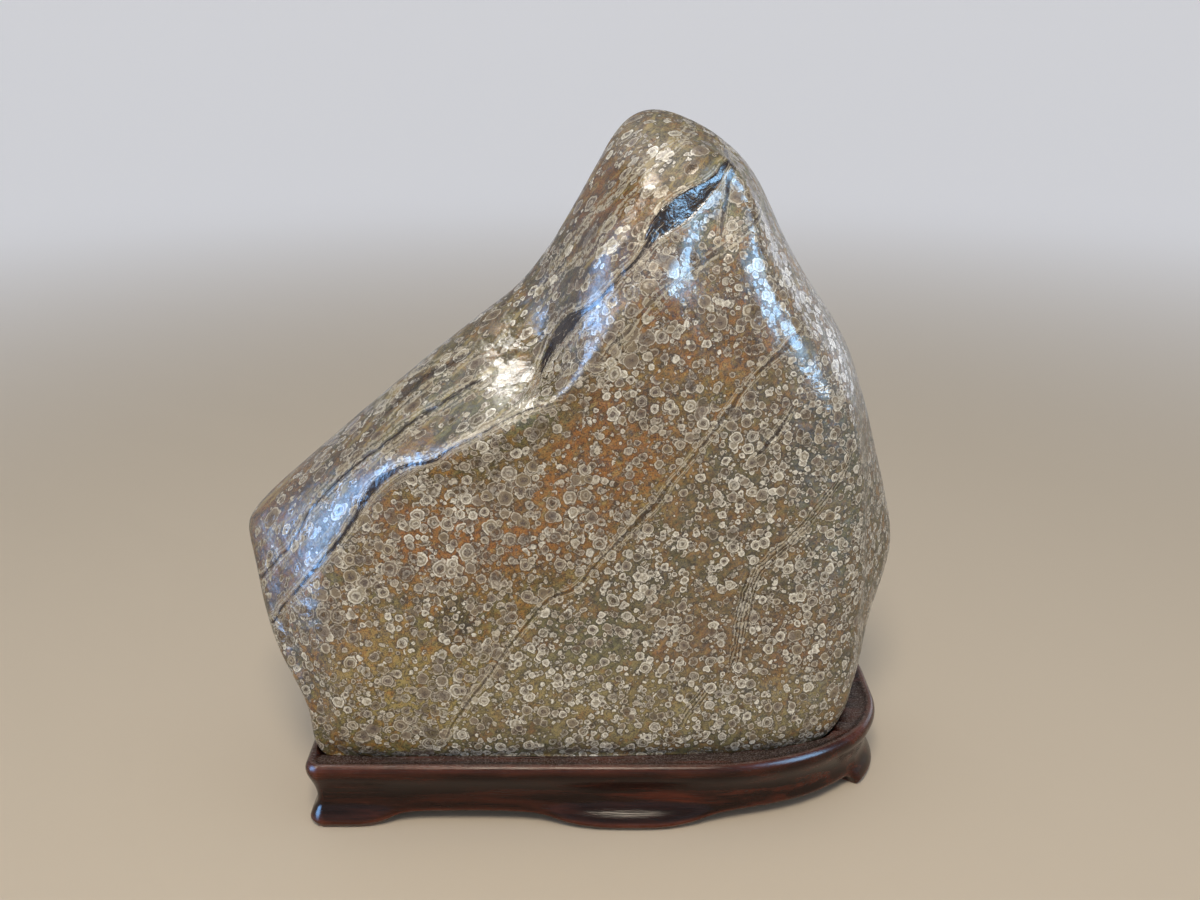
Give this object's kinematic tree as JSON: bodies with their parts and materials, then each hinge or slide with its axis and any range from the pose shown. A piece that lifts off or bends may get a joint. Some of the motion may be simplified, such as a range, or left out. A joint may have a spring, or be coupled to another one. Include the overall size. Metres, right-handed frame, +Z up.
{
  "type": "scholars rock on a stand",
  "caption": "Polished viewing stone with a leaning peak and a long sloping shoulder, standing in the carved seat of a low hardwood stand.",
  "frame": {"origin": "on the floor, at the middle of the whole piece's outline seen from above", "axes": "+Z up, -Y towards the side the stone is shown from, +X to that viewer's right"},
  "size_m": [0.2331, 0.0922, 0.2343],
  "materials": {
    "stone": "natural orbicular stone, ground smooth and polished to a wet gloss",
    "hardwood": "dark red-brown hardwood, carved, oiled and rubbed to a satin gloss"
  },
  "bodies": {
    "root": {"stone": "stone", "stand": "hardwood"}
  },
  "joints": []
}
